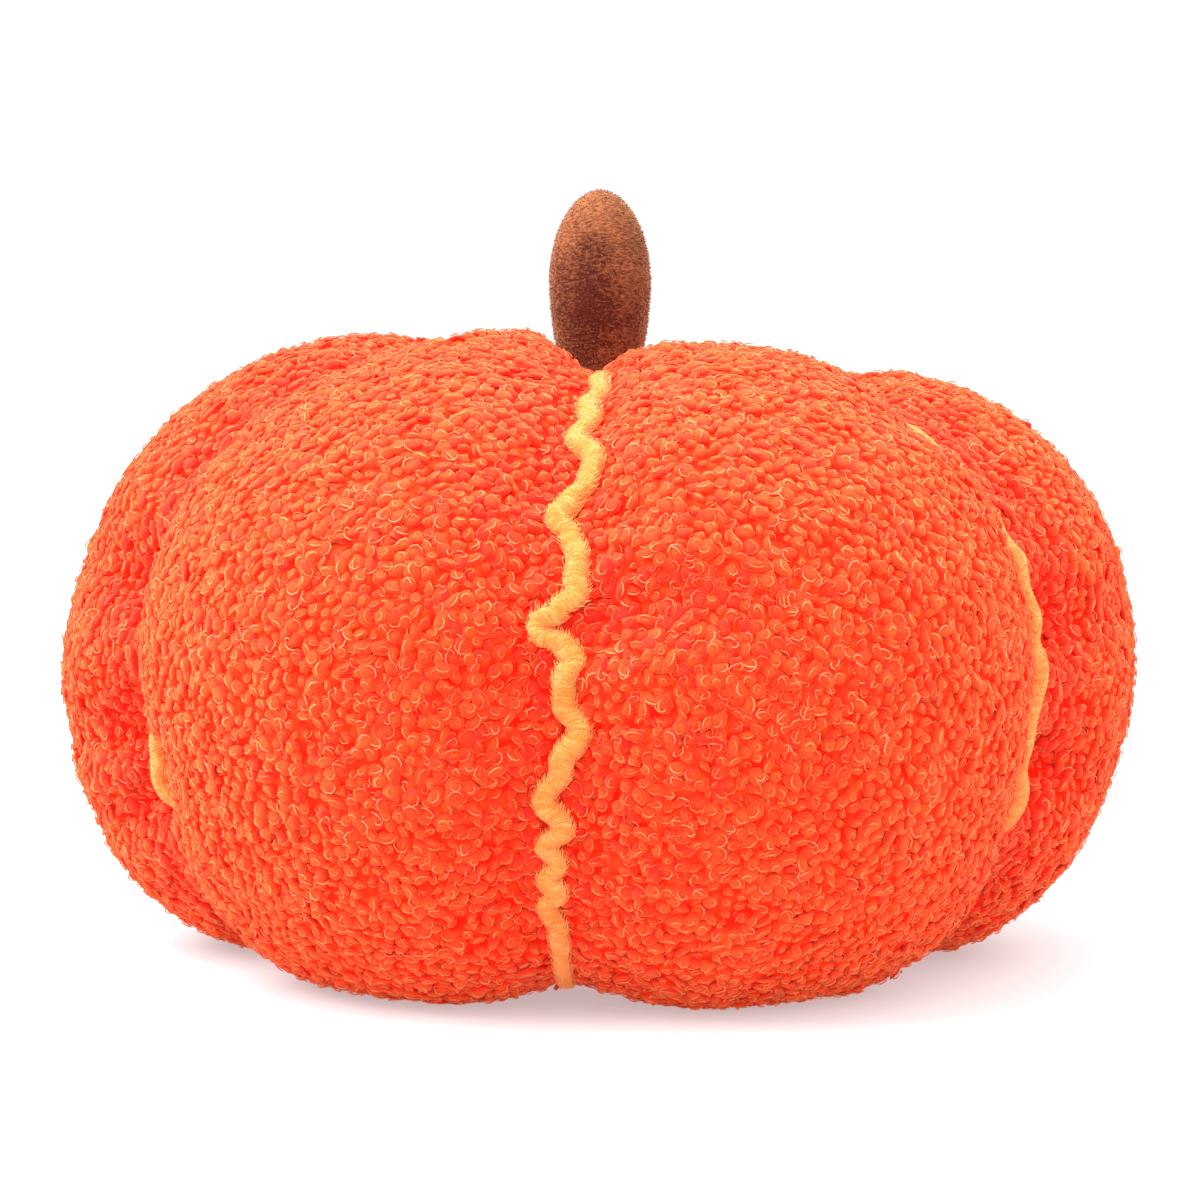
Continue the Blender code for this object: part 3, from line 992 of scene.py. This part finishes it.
def buildPiping(index, finish):
    choices = pipingChoices
    turns, floor, out, aside = pipingRows(index)
    outline = list(pipingSection)
    outline += [row._replace(across=-row.across) for row in pipingSection[-2:0:-1]]
    lean = bulge(index, -1, turns)[0] + bulge(index, 1, turns)[0]
    closed = np.minimum(lean / choices["closedLean"], 1.0)
    wide, tall = pipingSize(index, turns, closed)
    crimp = pipingCrimp(index, turns)
    rings = []
    for across, height in outline:
        sideways = aside * (across * choices["width"] / 2 * wide + crimp * height)[:, None]
        rings.append(floor + sideways + out * (choices["gap"] + height * choices["height"] * tall)[:, None])
    points = np.stack(rings, axis=1)
    rows, sides = points.shape[:2]
    piece = newPiece("piping" + seams[index].name, points.reshape(-1, 3), closedFaces(rows, sides), finish)
    across, height = np.array(outline).T
    nap = aside[:, None, :] * (across + 0.15 * np.sign(across))[None, :, None]
    nap = nap + np.cross(out, aside)[:, None, :] * choices["forward"]
    hidden = np.maximum(closed, ease((np.abs(turns) - choices["taperTurn"]) / choices["thinOut"]))
    kept = ease(height / 0.35)[None, :] * (1.0 - choices["thinShare"] * hidden)[:, None]
    readySkin(piece.data, nap.reshape(-1, 3), kept)
    passed = np.concatenate([[0.0], np.cumsum(np.linalg.norm(np.diff(floor, axis=0), axis=1))])
    comb = np.zeros((rows, sides, 3))
    comb[..., 0] = passed[:, None] * choices["combLines"] + np.abs(across)[None, :] * 1.6
    comb[..., 1] = across[None, :] * 0.8
    comb[..., 2] = height[None, :] * 0.8
    setValues(piece.data, "combMap", comb.reshape(-1, 3), "FLOAT_VECTOR")
    return piece


def hairSources(choices):
    # One straight hair, a closed spike of four faces
    sources = bpy.data.collections.new("hairShapes")
    thickness = choices["thickness"]
    points = [(thickness * math.cos(a), thickness * math.sin(a), 0.0)
              for a in np.linspace(0.0, 2.0 * math.pi, 3, endpoint=False)]
    points.append((0.0, 0.0, choices["length"]))
    addSource(sources, "hair", points, points, [(0, 2, 1), (0, 1, 3), (1, 2, 3), (2, 0, 3)], False)
    return sources


def plushFinish():
    # Yellow plush: warmer and darker at the roots as painted shade among the hairs, pale at the tips, in
    # lines across the piping
    made, sheet = newFinish("yellowPlush")
    place = sheet.place()
    shade = sheet.attribute("shade")
    tip = (sheet.attribute("lift") / 0.0024).clamped()
    streak = sheet.noise(sheet.attribute("combMap", "Vector"), 1.0, 2.0, 0.6)
    patch = sheet.noise(place, 120.0, 2.0, 0.5)
    share = (tip * 0.5 + shade * 0.35 + streak * 1.3 + patch * 0.5 - 0.75).clamped()
    color = sheet.mixColor(pipingChoices["root"], pipingChoices["tip"], share)
    sheen = (0.3, 0.5, pipingChoices["sheen"])
    endFinish(sheet, color, 0.8, 0.25, relief=(streak, 0.0006, 0.6), sheen=sheen)
    return made


# The stem: a stuffed velour tube with a rounded end

stemChoices = {
    "gap": 0.0003,
    "baseRadius": 0.0135,
    "radius": 0.0195,
    "widestAt": 0.253,
    "top": 0.288,
    "sides": 56,
    "lowerRows": 30,
    "domeRows": 20,
    "pile": 0.0006,             # how far the cloth lies under the hairs' tips
    "pileEnd": 0.004,           # at this radius the pile starts to thin out towards the tip
    "dent": 0.0012,
    "dentBearing": -30.0,
    "nap": (0.5, 0.0, -1.0),    # the way in which its pile is brushed
    "darkSpot": (-0.0050, -0.0190, 0.2520),     # a brushed patch: from the hub, and its height
    "darkReach": 0.0140,
    "deep": (0.060, 0.006, 0.001, 1.0),
    "pale": (0.30, 0.098, 0.034, 1.0),
    "sheen": (1.0, 0.60, 0.32, 1.0),
    "fill": 0.9,
}

# Dents in the stem: degrees aside of the dents' bearing, degrees of width, height, reach up and down
dents = table(
    "name aside width height tall share",
    ("dip", 0.0, 22.0, 0.262, 0.014, 0.7),
    ("crease", -8.0, 5.0, 0.276, 0.007, 0.6),
)

stemHairs = {
    "spacing": 0.0009,
    "density": 1900000.0,
    "seamClear": 0.0,
    "nap": 0.6,
    "lean": 0.5,
    "small": 0.7,
    "large": 1.3,
    "sink": 0.0001,
    "seed": 35,
    "floorGap": 0.0003,
    "length": 0.0009,
    "thickness": 0.00024,
}


def buildStem(finish):
    choices = stemChoices
    pile, top = choices["pile"], choices["top"] - choices["pile"]
    lower = np.linspace(0.0, 1.0, choices["lowerRows"], endpoint=False)
    dome = np.linspace(0.0, math.pi / 2, choices["domeRows"], endpoint=False)
    radius = np.concatenate([mix(choices["baseRadius"], choices["radius"], ease(lower)),
                             choices["radius"] * np.cos(dome)])
    height = np.concatenate([mix(cushionShape["upperHub"] + choices["gap"], choices["widestAt"], lower),
                             mix(choices["widestAt"], top, np.sin(dome))])
    radius = radius - pile * np.minimum(1.0, radius / choices["pileEnd"])
    bearing = 360.0 * np.arange(choices["sides"]) / choices["sides"]
    shift = (bearing - choices["dentBearing"] + 180.0) % 360.0 - 180.0
    dented = 0.0
    for row in dents:
        around = np.exp(-((shift - row.aside) / row.width) ** 2)[None, :]
        dented = dented + row.share * (around * np.exp(-((height - row.height) / row.tall) ** 2)[:, None])
    wide = radius[:, None] - choices["dent"] * dented
    points = atBearing(np.maximum(wide, 0.0002), bearing[None, :], height[:, None])
    rows, sides = points.shape[:2]
    faces = ringFaces(rows, sides)
    faces.append(tuple(range(sides))[::-1])
    last = (rows - 1) * sides
    faces += [(last + i, last + (i + 1) % sides, rows * sides) for i in range(sides)]
    flat = np.concatenate([points.reshape(-1, 3), [(hubX, hubY, top)]])
    piece = newPiece("stemVelour", flat, faces, finish)
    readySkin(piece.data, np.tile(choices["nap"], len(flat)), np.ones(len(flat)))
    return piece


def velourFinish():
    # Brown velour: short pile that turns light and dark in patches, paler higher up and darker at its base
    # as painted light and shade
    made, sheet = newFinish("brownVelour")
    choices = stemChoices
    place = sheet.place()
    stretched = sheet.node("ShaderNodeMapping", None, {"Vector": place, "Scale": (1.0, 1.0, 2.2)})
    shade = sheet.attribute("shade")
    grain = sheet.noise(stretched, 520.0, 2.0, 0.6)
    patch = sheet.noise(place, 55.0, 2.0, 0.5)
    x, y, z = choices["darkSpot"]
    spot = sheet.vector("SUBTRACT", place, (hubX + x, hubY + y, z))
    spot = sheet.vector("MULTIPLY", spot, (1.0, 1.0, 0.45))
    dark = (1.0 - sheet.vector("LENGTH", spot).out("Value") / choices["darkReach"]).clamped()
    height = sheet.node("ShaderNodeSeparateXYZ", None, {"Vector": place}).out("Z")
    # painted light and shade: the velour gets paler higher up the stem
    paintedTopLight = (height / 0.0900 - 2.35).clamped()
    share = (grain * 2.1 + patch * 0.9 + paintedTopLight * 0.6 - dark * 0.5 + shade * 0.2 - 1.40).clamped()
    color = sheet.mixColor(choices["deep"], choices["pale"], share)
    endFinish(sheet, color, 0.85, 0.2, relief=(grain, 0.0011, 0.9), sheen=(0.6, 0.3, choices["sheen"]))
    return made


def joinedPiece(base, extra):
    # The growth joined into the piece that it grows on
    both = [base, extra]
    with bpy.context.temp_override(active_object=base, object=base, selected_objects=both,
                                   selected_editable_objects=both):
        bpy.ops.object.join()
    return base


# Building the pieces

sherpaGround = groundFinish()
sherpaCurls = curlFinish()
yellowPlush = plushFinish()
brownVelour = velourFinish()
growTree = growthTree()

cover = buildCover(sherpaGround, clothChoices["extraDepth"])
settleCover(cover)
print("cover ready")

curls = curlSources()
piles = []
for lobeIndex, lobe in enumerate(lobes):
    name = "pile" + lobe.name[0].upper() + lobe.name[1:]
    piles.append(grown(name, cover, curls, curlChoices, sherpaCurls, float(lobeIndex)))
dropShapes(curls)

hairs = hairSources(hairChoices)
pipings = []
for seamIndex, seam in enumerate(seams):
    tube = buildPiping(seamIndex, yellowPlush)
    hair = grown("hair" + seam.name, tube, hairs, hairChoices, yellowPlush)
    pipings.append(joinedPiece(tube, hair))
dropShapes(hairs)

shorts = hairSources(stemHairs)
stem = buildStem(brownVelour)
stem = joinedPiece(stem, grown("hairStem", stem, shorts, stemHairs, brownVelour))
dropShapes(shorts)

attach(cover, "root")
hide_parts("cushion")
for pile in piles:
    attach(pile, "root")
for piping, seam in zip(pipings, seams):
    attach(piping, "root")
    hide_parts(seam.node)
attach(stem, "root")
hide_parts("stem")
print("pieces ride on the frame")


# Studio: a pale floor, soft light from the upper left front, the photo's camera

studioChoices = {
    "floorRadius": 8.0,
    "floorSides": 64,
    "floorDrop": 0.0004,
    "floorTone": 0.37,
    "floorGlow": 0.40,          # light of its own, which keeps the floor's shadow faint
    "worldLight": 1.02,
    "topLight": 2.4,            # how much brighter the room is overhead
    "cameraDistance": 1.5,
    "cameraHeight": 5.4,        # degrees above the level
    "aimHeight": 0.1326,
    "lens": 118.65,
    "sensor": 36.0,
}

# One row for each lamp: its place, its size and its power
lamps = table(
    "name x y z size power",
    ("keyLight", -1.8, -0.6, 2.4, 2.4, 145.0),
    ("rimLight", 1.6, 0.6, 1.5, 1.4, 4.0),
)


def aimed(name, data, place, aim):
    # A lamp or camera at its place, turned to what it is aimed at
    holder = bpy.data.objects.new(name, data)
    holder.location = place
    holder.rotation_euler = (aim - holder.location).to_track_quat("-Z", "Y").to_euler()
    bpy.context.scene.collection.objects.link(holder)
    return holder


def buildFloor():
    choices = studioChoices
    radius, sides, tone = choices["floorRadius"], choices["floorSides"], choices["floorTone"]
    circle = [(radius * math.cos(a), radius * math.sin(a), -choices["floorDrop"])
              for a in np.linspace(0.0, 2.0 * math.pi, sides, endpoint=False)]
    paleFloor, sheet = newFinish("paleFloor")
    white = (1.0, 1.0, 1.0, 1.0)
    endFinish(sheet, (tone, tone, tone, 1.0), 0.9, 0.5, glow=(white, choices["floorGlow"]))
    newPiece("floor", circle, [tuple(range(sides))], paleFloor)


def buildStudio():
    choices = studioChoices
    scene = bpy.context.scene
    buildFloor()
    world = bpy.data.worlds.new("softRoom")
    world.use_nodes = True
    world.node_tree.nodes.clear()
    sky = Sheet(world.node_tree)
    upward = sky.node("ShaderNodeSeparateXYZ", None, {"Vector": sky.node("ShaderNodeTexCoord")}).out("Z")
    strength = (sky.math("MAXIMUM", upward, 0.0) * choices["topLight"] + 1.0) * choices["worldLight"]
    light = sky.node("ShaderNodeBackground", None, {"Color": (1.0, 1.0, 1.0, 1.0), "Strength": strength})
    sky.node("ShaderNodeOutputWorld", None, {"Surface": light})
    scene.world = world
    aim = Vector((hubX, hubY, choices["aimHeight"]))
    for row in lamps:
        lamp = bpy.data.lights.new(row.name, "AREA")
        lamp.shape = "DISK"
        lamp.size = row.size
        lamp.energy = row.power
        aimed(row.name, lamp, (row.x, row.y, row.z), aim)
    view = bpy.data.cameras.new("photoView")
    view.lens = choices["lens"]
    view.sensor_width = choices["sensor"]
    tilt = math.radians(choices["cameraHeight"])
    eye = aim + choices["cameraDistance"] * Vector((0.0, -math.cos(tilt), math.sin(tilt)))
    scene.camera = aimed("photoView", view, eye, aim)
    scene.view_settings.view_transform = "Standard"


buildStudio()
print("studio ready")
